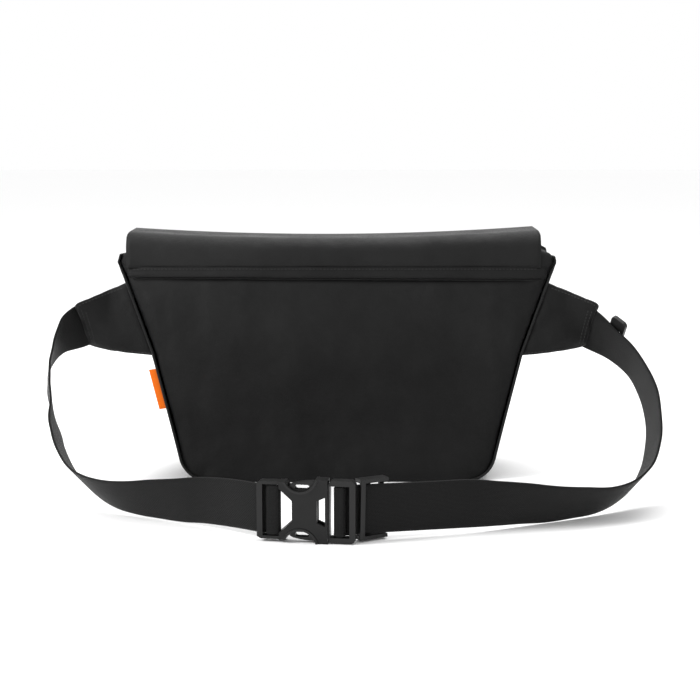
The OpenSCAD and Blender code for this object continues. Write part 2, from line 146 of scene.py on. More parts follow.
def make_studio():
    world = bpy.data.worlds.new("studio")
    world.use_nodes = True
    background = world.node_tree.nodes["Background"]
    background.inputs["Color"].default_value = (1, 1, 1, 1)
    background.inputs["Strength"].default_value = 1.0
    bpy.context.scene.world = world
    # The plain sRGB curve keeps the pale floor pale and the black cloth black
    bpy.context.scene.view_settings.view_transform = "Standard"
    area_light("key", place=(-1.1, -0.5, 0.9), target=(0, -0.1, 0.1), size=0.4, power=16)
    area_light("top", place=(0.3, 0.4, 1.6), target=(0, 0, 0.1), size=1.2, power=16)


def make_floor():
    mesh = bpy.data.meshes.new("floor")
    half = 6.0
    corners = [(-half, -half, 0), (half, -half, 0), (half, half, 0), (-half, half, 0)]
    mesh.from_pydata(corners, [], [(0, 1, 2, 3)])
    floor = new_object("floor", mesh)
    material = bpy.data.materials.new("floor")
    material.use_nodes = True
    surface = material.node_tree.nodes["Principled BSDF"]
    surface.inputs["Base Color"].default_value = (0.975, 0.975, 0.975, 1)
    surface.inputs["Roughness"].default_value = 0.7
    mesh.materials.append(material)


# ---- Materials ----

class Nodes:
    """Short ways to add and join the nodes of one material."""

    def __init__(self, name):
        self.material = bpy.data.materials.new(name)
        self.material.use_nodes = True
        self.tree = self.material.node_tree
        self.surface = self.tree.nodes["Principled BSDF"]

    def add(self, kind, **values):
        node = self.tree.nodes.new(kind)
        for key, value in values.items():
            setattr(node, key, value)
        return node

    def join(self, output, entry):
        self.tree.links.new(output, entry)

    def fix(self, socket, value):
        """One value all over the surface."""
        self.surface.inputs[socket].default_value = value

    def feed(self, socket, output):
        """A value of the surface that varies."""
        self.join(output, self.surface.inputs[socket])

    def place(self, kind="Object"):
        return self.add("ShaderNodeTexCoord").outputs[kind]

    def texture(self, kind, source, inputs, **values):
        node = self.add(kind, **values)
        for socket, value in inputs.items():
            node.inputs[socket].default_value = value
        self.join(source, node.inputs["Vector"])
        return node.outputs

    def noise(self, source, scale, detail=3.0):
        inputs = {"Scale": scale, "Detail": detail}
        return self.texture("ShaderNodeTexNoise", source, inputs)["Fac"]

    def bands(self, source, axis, width):
        """Bands of about that width along one axis, as of uneven yarn."""
        # One band of the wave texture is 2 pi / 20 units wide at scale 1. The
        # distortion keeps fine bands from showing as false ribs from afar.
        inputs = {"Scale": 2 * math.pi / 20 / width, "Distortion": 14.0, "Detail Scale": 0.35}
        return self.texture("ShaderNodeTexWave", source, inputs, bands_direction=axis)["Fac"]

    def ramp(self, value, low, high, start=0.3, end=0.7):
        """Maps a value between two colours."""
        node = self.add("ShaderNodeValToRGB")
        for element, position, colour in zip(node.color_ramp.elements, (start, end), (low, high)):
            element.position = position
            element.color = (*colour, 1)
        self.join(value, node.inputs["Fac"])
        return node.outputs["Color"]

    def bump(self, height, distance, before=None):
        node = self.add("ShaderNodeBump")
        node.inputs["Strength"].default_value = 1.0
        node.inputs["Distance"].default_value = distance
        self.join(height, node.inputs["Height"])
        if before is not None:
            self.join(before, node.inputs["Normal"])
        return node.outputs["Normal"]

    def combine(self, operation, first, second):
        node = self.add("ShaderNodeMath", operation=operation)
        for entry, value in zip(node.inputs, (first, second)):
            if isinstance(value, (int, float)):
                entry.default_value = value
            else:
                self.join(value, entry)
        return node.outputs["Value"]


def grey(level):
    return (level, level, level)


def cloth_material(name, level, spread, roughness, thread, sheen, wrinkle):
    """Woven cloth: threads, colour variation with painted shade darker towards the floor, worn
    sheen and small wrinkles.
    """
    nodes = Nodes(name)
    place = nodes.place()
    split = nodes.add("ShaderNodeSeparateXYZ")
    nodes.join(place, split.inputs["Vector"])
    # Random patches of tone, and painted shade: lighter towards the top, darker near the floor
    patches = nodes.combine("MULTIPLY", nodes.noise(place, 14), 0.7)
    painted_shade_rise = nodes.combine("MULTIPLY", split.outputs["Z"], 1.6)
    tone = nodes.combine("ADD", patches, painted_shade_rise)
    nodes.feed("Base Color", nodes.ramp(tone, grey(level - spread), grey(level + spread), 0.3, 0.8))
    worn = nodes.noise(place, 45)
    nodes.feed("Roughness", nodes.ramp(worn, grey(roughness - 0.06), grey(roughness + 0.06)))
    warp, depth, weft = [nodes.bands(place, axis, thread) for axis in "XYZ"]
    weave = nodes.combine("MULTIPLY", nodes.combine("ADD", warp, depth), weft)
    broad = nodes.bump(nodes.noise(place, 20, 2.0), wrinkle)
    fine = nodes.bump(nodes.noise(place, 70, 2.0), wrinkle * 0.15, broad)
    nodes.feed("Normal", nodes.bump(weave, thread * 0.12, fine))
    nodes.fix("Specular IOR Level", 0.14)
    nodes.fix("Sheen Weight", sheen)
    nodes.fix("Sheen Roughness", 0.4)
    return nodes.material


def webbing_material(name, low, high, roughness):
    """Woven tape, its picks laid like bricks along the tape's own length."""
    nodes = Nodes(name)
    place = nodes.place("UV")
    gaps = nodes.texture("ShaderNodeTexBrick", place, {
        "Scale": 1.0,
        "Brick Width": 2.0 * MM,
        "Row Height": 1.0 * MM,
        "Mortar Size": 0.3 * MM,
        "Mortar Smooth": 1.0,
    })["Fac"]
    fuzz = nodes.noise(place, 900, 2.0)
    tone = nodes.combine("ADD", nodes.combine("MULTIPLY", gaps, -0.5), fuzz)
    nodes.feed("Base Color", nodes.ramp(tone, low, high, 0.0, 0.8))
    nodes.feed("Normal", nodes.bump(nodes.combine("SUBTRACT", 1.0, gaps), 0.3 * MM))
    nodes.fix("Roughness", roughness)
    nodes.fix("Specular IOR Level", 0.12)
    nodes.fix("Sheen Weight", 0.05)
    nodes.fix("Sheen Roughness", 0.35)
    return nodes.material


def plastic_material(name, level, roughness):
    """Moulded plastic: fine grain, and a painted highlight that makes its edges a little lighter.
    """
    nodes = Nodes(name)
    place = nodes.place()
    # Painted highlight: sharp edges get a lighter colour
    edges = nodes.add("ShaderNodeNewGeometry").outputs["Pointiness"]
    nodes.feed("Base Color", nodes.ramp(edges, grey(level), grey(level * 2.2), 0.5, 0.6))
    worn = nodes.noise(place, 160)
    nodes.feed("Roughness", nodes.ramp(worn, grey(roughness - 0.05), grey(roughness + 0.08)))
    nodes.feed("Normal", nodes.bump(nodes.noise(place, 2600, 2.0), 0.04 * MM))
    nodes.fix("Specular IOR Level", 0.2)
    return nodes.material


def tape_material(name, colour, dark):
    """Ribbed tape in one colour."""
    nodes = Nodes(name)
    place = nodes.place()
    ribs = nodes.bands(place, "Z", 0.7 * MM)
    threads = nodes.combine("ADD", ribs, nodes.noise(place, 1500, 2.0))
    nodes.feed("Base Color", nodes.ramp(threads, dark, colour, 0.2, 1.0))
    nodes.feed("Normal", nodes.bump(ribs, 0.1 * MM))
    nodes.fix("Roughness", 0.6)
    nodes.fix("Specular IOR Level", 0.15)
    nodes.fix("Sheen Weight", 0.04)
    return nodes.material


def pile_material(name, level, height):
    """Hook or loop tape: a dense pile of small bumps."""
    nodes = Nodes(name)
    tips = nodes.texture("ShaderNodeTexVoronoi", nodes.place(), {"Scale": 1100})["Distance"]
    nodes.feed("Base Color", nodes.ramp(tips, grey(level), grey(level * 0.4), 0.0, 0.8))
    nodes.feed("Normal", nodes.bump(nodes.combine("SUBTRACT", 1.0, tips), height))
    nodes.fix("Roughness", 0.85)
    nodes.fix("Sheen Weight", 0.3)
    return nodes.material


SHELL = cloth_material("shell_cloth", level=0.0064, spread=0.0042, roughness=0.52,
                       thread=0.45 * MM, sheen=0.03, wrinkle=5 * MM)
FLAP = cloth_material("flap_cloth", level=0.0078, spread=0.0038, roughness=0.48,
                      thread=0.45 * MM, sheen=0.04, wrinkle=4 * MM)
LINING = cloth_material("lining_cloth", level=0.14, spread=0.012, roughness=0.75,
                        thread=0.6 * MM, sheen=0.1, wrinkle=2 * MM)
WEBBING = webbing_material("webbing", grey(0.002), grey(0.012), roughness=0.55)
TRIM = tape_material("seam_trim", grey(0.010), grey(0.004))
THREAD = tape_material("thread", grey(0.03), grey(0.012))
# Near-black, a painted shade for the pocket's slot below the welt
SLOT_SHADE = tape_material("pocket_slot_painted_shade", grey(0.002), grey(0.001))
PLASTIC = plastic_material("buckle_plastic", level=0.006, roughness=0.34)
HOOK = pile_material("hook_tape", level=0.012, height=0.3 * MM)
LOOP = pile_material("loop_tape", level=0.02, height=0.4 * MM)
TAG = tape_material("tag_tape", (0.86, 0.17, 0.006), (0.66, 0.09, 0.003))


# ---- Numbers and lines ----

def clamp(value):
    return min(1, max(0, value))


def shares(count):
    return [i / (count - 1) for i in range(count)]


def across(half, count, centre=0.0):
    """Evenly spaced places from one side of a centre to the other."""
    return [centre + half * (2 * share - 1) for share in shares(count)]


def soft_noise(x, y, z):
    return noise.noise(Vector((x, y, z)))


def direction(line, i):
    """Direction of a line of points at one of them."""
    return (line[min(i + 1, len(line) - 1)] - line[max(i - 1, 0)]).normalized()


def walk(line, step):
    """Points spaced evenly along a polyline."""
    line = [Vector(p) for p in line]
    result, left = [line[0]], step
    for start, end in zip(line, line[1:]):
        length = (end - start).length
        done = 0.0
        while length - done >= left and length > 0:
            done += left
            result.append(start.lerp(end, done / length))
            left = step
        left -= length - done
    return result


def arc(centre_x, centre_z, radius, start, end, steps):
    turns = [math.radians(start + (end - start) * i / steps) for i in range(steps + 1)]
    return [(centre_x + radius * math.cos(turn), centre_z + radius * math.sin(turn))
            for turn in turns]


# ---- Mesh helpers ----

# Swelling of a pad by simulation
SWELL_PRESSURE = 4.0
SWELL_BENDING = 0.6
SWELL_FRAMES = 20

# Stitches: how far apart, and the share of that which shows as thread
STITCH_PITCH = 3 * MM
STITCH_SHARE = 0.68
# Rings along one stitch: share of its length, share of its thickness
STITCH_RINGS = ((0, 0.35), (0.2, 0.9), (0.8, 0.9), (1, 0.35))
STITCH_SIDES = 6


def shade_smooth(mesh):
    mesh.polygons.foreach_set("use_smooth", [True] * len(mesh.polygons))


def new_mesh(name, points, faces, material):
    mesh = bpy.data.meshes.new(name)
    mesh.from_pydata([tuple(p) for p in points], [], faces)
    mesh.validate()
    shade_smooth(mesh)
    mesh.materials.append(material)
    return new_object(name, mesh)


def grid_faces(rows, columns, wrap=False, first=0):
    """Quads between neighbouring rows of points, wrapped round if asked."""
    faces = []
    last = columns if wrap else columns - 1
    for r in range(rows - 1):
        for c in range(last):
            a = first + r * columns + c
            b = first + r * columns + (c + 1) % columns
            faces.append((a, b, b + columns, a + columns))
    return faces


def grid(name, rows, material, wrap=False):
    points = [p for row in rows for p in row]
    return new_mesh(name, points, grid_faces(len(rows), len(rows[0]), wrap), material)


def outward(obj):
    """Makes the faces of a closed mesh point outwards."""
    shape = bmesh.new()
    shape.from_mesh(obj.data)
    bmesh.ops.recalc_face_normals(shape, faces=shape.faces)
    shape.to_mesh(obj.data)
    shape.free()


def thicken(obj, thickness, offset=-1.0):
    modifier = obj.modifiers.new("thickness", "SOLIDIFY")
    modifier.thickness = thickness
    modifier.offset = offset
    modifier.use_even_offset = True


def soften(obj, width, segments):
    modifier = obj.modifiers.new("edges", "BEVEL")
    modifier.width = width
    modifier.segments = segments
    modifier.limit_method = "ANGLE"
    modifier.angle_limit = math.radians(35)


def apply_modifiers(obj):
    graph = bpy.context.evaluated_depsgraph_get()
    mesh = bpy.data.meshes.new_from_object(obj.evaluated_get(graph))
    obj.modifiers.clear()
    obj.data = mesh


def place_piece(obj, body, slot, *nodes):
    """The piece stands for those CAD nodes and moves with a CAD body."""
    if nodes:
        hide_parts(*nodes)
    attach(obj, body)


def simulate_swelling(obj, cap):
    """Moves each point of a closed mesh as pressure inside would, up to a cap."""
    rest = [vertex.co.copy() for vertex in obj.data.vertices]
    cloth = obj.modifiers.new("cloth", "CLOTH")
    cloth.settings.quality = 5
    cloth.settings.use_pressure = True
    cloth.settings.uniform_pressure_force = SWELL_PRESSURE
    cloth.settings.effector_weights.gravity = 0
    cloth.settings.bending_stiffness = SWELL_BENDING
    for step in range(1, SWELL_FRAMES + 1):
        bpy.context.scene.frame_set(step)
    graph = bpy.context.evaluated_depsgraph_get()
    swollen = [vertex.co.copy() for vertex in obj.evaluated_get(graph).data.vertices]
    obj.modifiers.remove(cloth)
    bpy.context.scene.frame_set(1)
    for vertex, start, end in zip(obj.data.vertices, rest, swollen):
        move = end - start
        if move.length > cap:
            move *= cap / move.length
        vertex.co = start + move


def swell(obj, voxel, cap):
    """Turns a flat-sided closed mesh into a smooth, swollen pad."""
    bpy.context.view_layer.objects.active = obj
    obj.data.remesh_voxel_size = voxel
    bpy.ops.object.voxel_remesh()
    simulate_swelling(obj, cap)
    shade_smooth(obj.data)
    subdivide = obj.modifiers.new("smooth", "SUBSURF")
    subdivide.levels = 1
    subdivide.render_levels = 1
    apply_modifiers(obj)


def make_stitches(name, line, thickness, body):
    """Row of short raised stitches along a list of points."""
    points, faces = [], []
    places = walk(line, STITCH_PITCH)
    for start, end in zip(places, places[1:]):
        ahead = (end - start).normalized()
        side = ahead.orthogonal().normalized()
        up = ahead.cross(side)
        first = len(points)
        for share, width in STITCH_RINGS:
            centre = start + ahead * STITCH_PITCH * STITCH_SHARE * share
            for k in range(STITCH_SIDES):
                turn = 2 * math.pi * k / STITCH_SIDES
                spoke = side * math.cos(turn) + up * math.sin(turn)
                points.append(centre + spoke * thickness * width)
        faces += grid_faces(len(STITCH_RINGS), STITCH_SIDES, True, first)
    place_piece(new_mesh(name, points, faces, THREAD), body, "seam_trim")


# ---- Outline of the bag ----

def side_points(inset):
    """Right half of the bag's outline, from the base up, as (x, z)."""
    lean = math.atan2(WAIST_HALF - LOW_HALF, WAIST_Z - LOW_Z)
    corner_x = LOW_HALF - (CORNER_R + (LOW_Z - CORNER_R) * math.sin(lean)) / math.cos(lean)
    points = arc(corner_x, CORNER_R, CORNER_R - inset, -90, -math.degrees(lean), 8)
    points.append((WAIST_HALF - inset, WAIST_Z))
    return points + [(x - inset, z) for x, z in SIDE_TOP]


def half_width(z, inset=0.0):
    points = side_points(inset)
    z = min(max(z, points[0][1]), points[-1][1])
    for (x0, z0), (x1, z1) in zip(points, points[1:]):
        if z <= z1:
            return x0 + (x1 - x0) * (z - z0) / max(z1 - z0, 1e-9)
    return points[-1][0]


def rim(inset, y):
    """Points round the bag from its top left corner, under it, to the right."""
    right = [Vector((x, y, z)) for x, z in side_points(inset)]
    left = [Vector((-p.x, p.y, p.z)) for p in reversed(right)]
    return walk(left + right, 4 * MM)


def front_y(z):
    return BASE_FRONT_Y - LEAN * z


def rectangle_point(share, half, back, front, radius):
    """Point that share of the way round a rectangle with round corners."""
    corners = ((half - radius, front - radius, 0), (radius - half, front - radius, 90),
               (radius - half, back + radius, 180), (half - radius, back + radius, 270))
    points = []
    for x, y, turn in corners:
        points += arc(x, y, radius, turn, turn + 90, 4)
    points.append(points[0])
    lengths = [math.dist(start, end) for start, end in zip(points, points[1:])]
    left = share * sum(lengths)
    for start, end, length in zip(points, points[1:], lengths):
        if left <= length:
            part = left / max(length, 1e-9)
            return (start[0] + (end[0] - start[0]) * part,
                    start[1] + (end[1] - start[1]) * part)
        left -= length
    return points[0]


# ---- Bag body ----

PANEL_ROWS = 44
PANEL_COLUMNS = 72

# Bulge of the back just above the floor, at its ends and more in its middle
BULGE_ENDS = 4 * MM
BULGE_MIDDLE = 10 * MM
BULGE_HALF = 140 * MM
BULGE_Z = 50 * MM
# Share of that bulge which the seam round the panel follows
SEAM_FOLLOWS = 0.6

# Slot of the back pocket below the welt
SLOT_DEPTH = 3.6 * MM
SLOT_WIDTH = 2.4 * MM
SLOT_HALF = 172 * MM

# Top corners of the bag: where they begin to sink, how far, and the side's fold
EAR_FROM_X, EAR_REACH = 168 * MM, 20 * MM
EAR_FROM_Z, EAR_RISE = 178 * MM, 26 * MM
EAR_DROP = 8 * MM
EAR_FOLD = 6 * MM

FLOOR_GAP = 0.2 * MM
GUSSET_SAG = 3.5 * MM
FRONT_FILL = 6.5 * MM
LINING_INSET = 3.2 * MM
MOUTH_CORNER_R = 6 * MM


def panel_rows(inset, y_at):
    """Rows of points that fill the bag's outline, y_at(x, z) deep."""
    made = []
    for share in shares(PANEL_ROWS):
        # Rows lie closer together in the base corners
        z = inset + (MOUTH_Z - inset) * share ** 1.25
        xs = across(half_width(z, inset), PANEL_COLUMNS)
        made.append([Vector((x, y_at(x, z), z)) for x in xs])
    return made


def closed_panel(name, inset, near_y, far_y, material):
    """Closed slab with the bag's outline, between two depths."""
    near = panel_rows(inset, lambda x, z: near_y)
    far = panel_rows(inset, lambda x, z: far_y)
    rows, columns = len(near), len(near[0])
    points = [p for row in near + far for p in row]
    half = rows * columns
    faces = grid_faces(rows, columns) + grid_faces(rows, columns, first=half)
    edge = list(range(columns))
    edge += [r * columns + columns - 1 for r in range(1, rows)]
    edge += [(rows - 1) * columns + c for c in range(columns - 2, -1, -1)]
    edge += [r * columns for r in range(rows - 2, 0, -1)]
    for a, b in zip(edge, edge[1:] + edge[:1]):
        faces.append((a, b, b + half, a + half))
    panel = new_mesh(name, points, faces, material)
    outward(panel)
    return panel


def base_bulge(x, z):
    """How far the back of the bag bulges out just above the floor."""
    middle = max(0, 1 - (x / BULGE_HALF) ** 4)
    return (BULGE_ENDS + BULGE_MIDDLE * middle) * max(0, 1 - z / BULGE_Z) ** 1.5


def slot_z(x):
    """Height of the welt's lower edge, which dips a little to the right."""
    return welt_low.z + 1.9 * MM - 5 * x * MM + 0.4 * MM * soft_noise(x * 16, 1, 3)


def slot_groove(x, z):
    """Depth of the pocket's slot below the welt, fading out at both ends."""
    middle = max(0, 1 - (abs(x) / SLOT_HALF) ** 8)
    return SLOT_DEPTH * middle * math.exp(-((z - slot_z(x) + 1 * MM) / SLOT_WIDTH) ** 2)


def pad_wrinkle(x, z):
    """Soft folds of the panel, strongest below the pocket's two ends."""
    ends = min(1, (abs(x) / (150 * MM)) ** 3) * min(1, z / (90 * MM))
    broad = soft_noise(x * 9, z * 13, 8)
    fine = soft_noise(x * 55, z * 16 + x * 22, 2)
    return 1.8 * MM * broad + 2.2 * MM * ends * fine


def body_wrinkle(x, y, z, size):
    """Small outward shift of the body cloth."""
    point = Vector((x * 14, y * 22, z * 9))
    return size * noise.noise(point) + 0.4 * size * noise.noise(point * 2.7)


def front_out(x, z):
    """How far the front panel's cloth stands out of its plane."""
    middle = math.cos(math.pi / 2 * min(1, abs(x) / half_width(z)))
    up = math.sin(math.pi * min(1, z / MOUTH_Z))
    return (FRONT_FILL + body_wrinkle(x, 0.1, z, 2.6 * MM)) * middle * up


def fold_in(y):
    """Strength of the side's inward fold across the bag's depth."""
    return math.sin(math.pi * clamp((y - PANEL_Y) / (MOUTH_FRONT_Y - PANEL_Y)))


def droop_ears(obj):
    """Lets the bag's two top corners sink and close a little."""
    for vertex in obj.data.vertices:
        x, y, z = vertex.co
        high = clamp((z - EAR_FROM_Z) / EAR_RISE)
        out = max(0, abs(x) - EAR_FROM_X) / EAR_REACH
        vertex.co.z -= EAR_DROP * high * out ** 1.6
        if y > PANEL_Y:
            # The side folds in at the mouth, towards the back panel
            vertex.co.x -= math.copysign(min(1, out * 2) * high * EAR_FOLD * fold_in(y), x)


def make_back_pad():
    """Padded panel against the wearer, swelled by a simulation."""
    pad = closed_panel("back_pad", 0.4 * MM, BACK_Y + 1.2 * MM, PANEL_Y - 0.2 * MM, SHELL)
    swell(pad, voxel=4 * MM, cap=2.6 * MM)
    lowest = min(vertex.co.z for vertex in pad.data.vertices)
    for vertex in pad.data.vertices:
        x, y, z = vertex.co
        low = max(0, 1 - (z - lowest) / (45 * MM)) ** 2
        outer = clamp((PANEL_Y - y) / (PANEL_Y - BACK_Y))
        # The padding squashes flat where it stands on the floor
        vertex.co.z = max(0.3 * MM, z - (lowest + 3 * MM) * low)
        vertex.co.y += outer * (slot_groove(x, z) - base_bulge(x, z) - pad_wrinkle(x, z))
    droop_ears(pad)
    place_piece(pad, "bag", "shell_cloth", "back_panel", "back_foam", "pocket_lining")


def make_piping():
    """Corded seam round the back panel, up to the bag's two top corners."""
    radius, sides = 1.1 * MM, 8
    line = [p for p in rim(0.7 * MM, BACK_Y + 0.6 * MM) if p.z < MOUTH_Z - 7 * MM]
    line = [p - Vector((0, base_bulge(p.x, p.z) * SEAM_FOLLOWS, 0)) for p in line]
    turns = [2 * math.pi * k / sides for k in range(sides)]
    rows = []
    for i, p in enumerate(line):
        side = direction(line, i).cross(AWAY)
        # Thins out at both ends, where the cord runs into the seam
        r = radius * min(1, 0.1 + 0.3 * min(i, len(line) - 1 - i))
        rows.append([p + side * r * math.cos(a) + AWAY * r * math.sin(a) for a in turns])
    piping = grid("seam_piping", rows, TRIM, True)
    droop_ears(piping)
    for vertex in piping.data.vertices:
        vertex.co.z = max(vertex.co.z, FLOOR_GAP)
    place_piece(piping, "bag", "seam_trim", "back_piping")


def make_gusset():
    """Sides and base in one strip that sags between its two seams."""
    strip = rim(0.2 * MM, 0)
    rows = []
    for i, p in enumerate(strip):
        normal = direction(strip, i).cross(AWAY)
        back = BACK_Y + 1 * MM - base_bulge(p.x, p.z) * SEAM_FOLLOWS
        # Held straight at the mouth and where it lies on the floor
        loose = min(1, p.z / (50 * MM), 0.2 + (MOUTH_Z - p.z) / (40 * MM))
        row = []
        for share in shares(20):
            y = back + (front_y(p.z) - back) * share
            sag = body_wrinkle(p.x, y, p.z, 2.5 * MM) - GUSSET_SAG
            point = p + normal * sag * loose * math.sin(math.pi * share)
            row.append(Vector((point.x, y, max(point.z, 0.3 * MM))))
        rows.append(row)
    gusset = grid("side_gusset", rows, SHELL)
    droop_ears(gusset)
    thicken(gusset, CLOTH_T)
    place_piece(gusset, "bag", "shell_cloth", "gusset")


def make_front():
    """Front panel, filled out by the bag's own stiffness."""
    rows = panel_rows(0.2 * MM, lambda x, z: front_y(z) + front_out(x, z))
    front = grid("front_panel_cloth", rows, SHELL)
    droop_ears(front)
    thicken(front, CLOTH_T, 1.0)
    place_piece(front, "bag", "shell_cloth", "front_panel")


def close_base(obj, count):
    """One face over the first points of a mesh, a ring round its base."""
    shape = bmesh.new()
    shape.from_mesh(obj.data)
    shape.verts.ensure_lookup_table()
    shape.faces.new([shape.verts[k] for k in range(count)])
    shape.to_mesh(obj.data)
    shape.free()


def make_lining():
    """Loose cloth bag inside the shell, open at the mouth."""
    back = PANEL_Y + 1.0 * MM
    top = MOUTH_Z - 1 * MM
    around = 96
    rows = []
    for share in shares(40):
        z = LINING_INSET + (top - LINING_INSET) * share
        # Hangs clear of the sagging sides, and meets them at the mouth
        inset = LINING_INSET + 5 * MM * min(1, (top - z) / (40 * MM))
        half = half_width(z, inset)
        front = front_y(z) - LINING_INSET
        ring = []
        for k in range(around):
            x, y = rectangle_point(k / around, half, back, front, MOUTH_CORNER_R)
            ripple = body_wrinkle(x + 1, y, z, 1.0 * MM)
            ring.append(Vector((x, y + ripple * 0.4, z)))
        rows.append(ring)
    lining = grid("main_lining", rows, LINING, True)
    close_base(lining, around)
    droop_ears(lining)
    place_piece(lining, "bag", "lining_cloth", "lining")


def make_binding():
    """Tape folded round the lining's edge at the mouth."""
    low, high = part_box("mouth_binding")
    around = 120
    # Distance inwards from the tape's outer face, and height
    section = [(0, low.z), (0, high.z), (0.6 * MM, high.z + 0.5 * MM),
               (1.2 * MM, high.z), (1.2 * MM, low.z)]
    rows = []
    for inward, z in section:
        half = half_width(z, 3.0 * MM + inward)
        back = PANEL_Y + 1.2 * MM + inward
        front = front_y(z) - 3.4 * MM - inward
        ring = [rectangle_point(k / around, half, back, front, MOUTH_CORNER_R)
                for k in range(around)]
        rows.append([Vector((x, y, z)) for x, y in ring])
    tape = grid("mouth_tape", rows, TRIM, True)
    droop_ears(tape)
    place_piece(tape, "bag", "seam_trim", "mouth_binding")


# Welt's section from its lower lip up: millimetres inwards, share of its height
WELT_SECTION = [(2.4, -0.04), (0.5, 0.0), (-0.3, 0.1), (-0.3, 0.4), (-0.1, 0.75), (0.0, 1.1)]
# Near-black strip of painted shade in the pocket's slot, its section below the lip: millimetres
# down and inwards
SLOT_SECTION = [(-0.2, 2.6), (1.0, 1.2), (1.7, 1.4), (2.2, 3.0)]
WELT_COLUMNS = 110


def welt_point(x, half, inward, share):
    # The band sinks into the side seams at both ends
    end = 2.6 * MM * abs(x / half) ** 24
    ripple = 0.4 * MM * soft_noise(x * 30, share, 3)
    z = slot_z(x) + (welt_high.z - slot_z(x)) * share
    return Vector((x, welt_low.y + inward * MM + ripple + end, z))


def make_welt():
    """Topstitched band above the slot of the back pocket."""
    half = half_width(welt_low.z) - 3 * MM
    rows = [[welt_point(x, half, inward, share) for x in across(half, WELT_COLUMNS)]
            for inward, share in WELT_SECTION]
    welt = grid("welt_band", rows, SHELL)
    thicken(welt, 0.9 * MM, 0)
    place_piece(welt, "bag", "shell_cloth", "pocket_welt")
    xs = across(half - 4 * MM, WELT_COLUMNS)
    # Near-black strip below the welt's lip: painted shade where the welt's edge shades the slot
    rows = [[Vector((x, welt_low.y + inward * MM, slot_z(x) - down * MM)) for x in xs]
            for down, inward in SLOT_SECTION]
    slot = grid("pocket_slot_painted_shade", rows, SLOT_SHADE)
    thicken(slot, 0.4 * MM, 0)
    place_piece(slot, "bag", "lining_cloth")
    y = welt_low.y - 1.0 * MM
    z = welt_high.z - 0.8 * MM
    end = half - 5 * MM
    make_stitches("welt_stitches", [(-end, y, z), (end, y, z)], 0.35 * MM, "bag")


def make_patch(name, body, slot, material, node, depth):
    """Sewn patch with round corners, depth(x, z) in front of the bag's plane."""
    low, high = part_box(node)
    centre = (high.x + low.x) / 2
    rows = []
    for share in shares(10):
        z = low.z + (high.z - low.z) * share
        trim = 2.5 * MM * max(0, abs(2 * share - 1) - 0.8) / 0.2
        xs = across((high.x - low.x) / 2 - trim, 24, centre)
        rows.append([Vector((x, front_y(z) + depth(x, z), z)) for x in xs])
    patch = grid(name, rows, material)
    thicken(patch, 0.7 * MM, 0)
    place_piece(patch, body, slot, node)


def make_patches():
    for end in ("left", "right"):
        make_patch("loop_patch_" + end, "bag", "loop_tape", LOOP, "front_loop_" + end,
                   lambda x, z: front_out(x, z) + 0.4 * MM)
        make_patch("hook_patch_" + end, "flap", "hook_tape", HOOK, "flap_hook_" + end,
                   lambda x, z: front_out(x, z) + front_fold(x, z) + 2.9 * MM)


def make_tag():
    """Folded orange tape in the left seam, left blank."""
    low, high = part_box("side_tag")
    reach = 7.5 * MM
    middle = (low.y + high.y) / 2
    rows = []
    for share in shares(14):
        z = low.z + (high.z - low.z) * share
        root = 1 * MM - half_width(z)
        curl = 0.7 * MM * math.sin(2.2 * share)
        rows.append([Vector((root - reach * s, middle - curl * s, z - 1 * MM * s))
                     for s in shares(6)])
    tag = grid("seam_tag", rows, TAG)
    thicken(tag, 1.3 * MM, 0)
    soften(tag, 0.3 * MM, 2)
    place_piece(tag, "bag", "tag_tape", "side_tag")


# ---- Wings ----

# Wing from its root on the bag round to its outer end, in millimetres
WING = [
    (178.5, 174), (168, 141), (156.5, 108.5), (170, 109.5), (193, 112), (211, 114.5),
    (217.5, 117), (221, 136), (225, 155), (222.5, 158), (202, 165.5),
]
WING_ROOT_POINTS = 3
WING_END = slice(6, 9)
# Stitch rows: one that share of the way out to the edge, two across the end
EDGE_ROW = 0.88
END_ROWS = (6 * MM, 9 * MM)
# Lean of the outer end, as it twists with the webbing
LEFT_LEAN, RIGHT_LEAN = 0.55, 0.42


def wing_shift(x, z):
    """Folds that run out from the root, and the end's twist with the webbing."""
    folds = 2.6 * MM * soft_noise(x * 26 + z * 14, z * 34, 5)
    folds += 1.2 * MM * soft_noise(x * 60, z * 75, 9)
    end = clamp((abs(x) - 196 * MM) / (24 * MM))
    lean = LEFT_LEAN if x < 0 else RIGHT_LEAN
    return folds * (1 - 0.6 * end) - lean * end * (z - 135 * MM)


def on_surface(surface, point):
    """The surface's point straight behind a point, seen from the wearer."""
    hit = surface.ray_cast(point - AWAY * 0.1, AWAY)[0]
    return hit if hit else point


